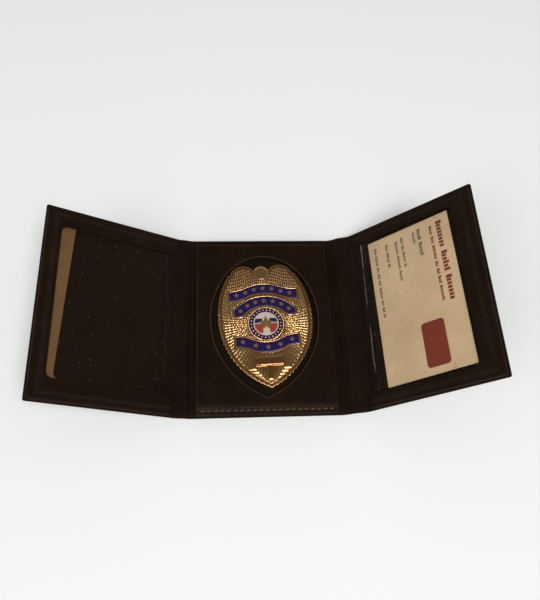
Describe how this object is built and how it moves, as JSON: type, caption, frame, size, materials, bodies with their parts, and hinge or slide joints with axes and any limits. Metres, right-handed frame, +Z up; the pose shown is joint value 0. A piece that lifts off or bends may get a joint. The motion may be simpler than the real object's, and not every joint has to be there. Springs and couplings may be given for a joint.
{
  "type": "id badge wallet",
  "caption": "Trifold leather badge wallet, open: shield badge in a drop-shaped recess on a padded center panel, clear ID window with a card on each flap, bill pocket behind.",
  "frame": {"origin": "middle of the center panel, on the outer face that lies on the table", "axes": "+X to the right flap, +Y to the wallet's top edge, +Z up out of the open wallet"},
  "size_m": [0.2318, 0.111, 0.0642],
  "materials": {
    "cover_leather": "grained, satin, black-brown",
    "lining_leather": "smooth, thin, black-brown",
    "face_leather": "grained, satin, black-brown",
    "backing_leather": "matte, black-brown",
    "sheet_paper": "tan paper",
    "board": "grey board",
    "pad_foam": "dense felt pad",
    "clear_vinyl": "clear, glossy",
    "gold_brass": "die struck, gold plated",
    "blue_enamel": "hard enamel, polished",
    "white_enamel": "hard enamel, polished",
    "steel": "plated",
    "thread": "waxed thread",
    "insert_plastic": "dark plastic card",
    "card_paper": "uncoated card stock"
  },
  "bodies": {
    "center": {"center_cover": "cover_leather", "center_lining": "lining_leather", "center_welt": "lining_leather", "left_inner_crease": "cover_leather", "right_inner_crease": "cover_leather", "filler_board": "board", "badge_backing": "backing_leather", "badge_pad": "pad_foam", "badge_panel": "face_leather", "badge_plate": "gold_brass", "upper_banner": "blue_enamel", "middle_banner": "blue_enamel", "lower_banner": "blue_enamel", "seal_ring": "blue_enamel", "seal_field": "white_enamel", "seal_star": "gold_brass", "badge_posts": "gold_brass", "post_washers": "steel", "post_nuts": "steel", "center_stitching": "thread"},
    "left_spine": {"left_spine_cover": "cover_leather", "left_spine_lining": "lining_leather", "left_spine_welt": "lining_leather", "left_outer_crease": "cover_leather"},
    "left_flap": {"left_cover": "cover_leather", "left_lining": "lining_leather", "left_welt": "lining_leather", "left_pocket_back": "backing_leather", "left_spacer": "face_leather", "left_window": "clear_vinyl", "left_frame": "face_leather", "left_stitching": "thread"},
    "left_sheet": {"insert_sheet": "sheet_paper"},
    "left_card": {"insert_card": "insert_plastic"},
    "right_spine": {"right_spine_cover": "cover_leather", "right_spine_lining": "lining_leather", "right_spine_welt": "lining_leather", "right_outer_crease": "cover_leather"},
    "right_flap": {"right_cover": "cover_leather", "right_lining": "lining_leather", "right_welt": "lining_leather", "right_pocket_back": "backing_leather", "right_spacer": "face_leather", "right_window": "clear_vinyl", "right_frame": "face_leather", "right_stitching": "thread"},
    "right_card": {"id_card": "card_paper"}
  },
  "joints": [
    {"name": "left_inner_fold", "type": "hinge", "parent": "center", "child": "left_spine", "pos_m": [-0.0405, 0, 0.0023], "axis": [0, 1, 0], "range_deg": [-14.5, 75.5], "deforming": ["left_inner_crease"]},
    {"name": "left_outer_fold", "type": "hinge", "parent": "left_spine", "child": "left_flap", "pos_m": [-0.04979, 0, 0.0047], "axis": [0, 1, 0], "range_deg": [-14.5, 75.5], "deforming": ["left_outer_crease"]},
    {"name": "left_sheet_slide", "type": "slide", "parent": "left_flap", "child": "left_sheet", "axis": [0.8746, 0, -0.4848], "range_m": [0, 0.017]},
    {"name": "left_card_slide", "type": "slide", "parent": "left_flap", "child": "left_card", "axis": [0.8746, 0, -0.4848], "range_m": [-0.0054, 0.0068]},
    {"name": "right_inner_fold", "type": "hinge", "parent": "center", "child": "right_spine", "pos_m": [0.0405, 0, 0.0023], "axis": [0, -1, 0], "range_deg": [-22, 68], "deforming": ["right_inner_crease"]},
    {"name": "right_outer_fold", "type": "hinge", "parent": "right_spine", "child": "right_flap", "pos_m": [0.05496, 0, 0.00814], "axis": [0, -1, 0], "range_deg": [-22, 68], "deforming": ["right_outer_crease"]},
    {"name": "right_card_slide", "type": "slide", "parent": "right_flap", "child": "right_card", "axis": [-0.7193, 0, -0.6947], "range_m": [-0.0038, 0.011]}
  ],
  "couplings": [
    {"joint": "left_outer_fold", "follows": "left_inner_fold", "ratio": 1},
    {"joint": "right_outer_fold", "follows": "right_inner_fold", "ratio": 1}
  ]
}
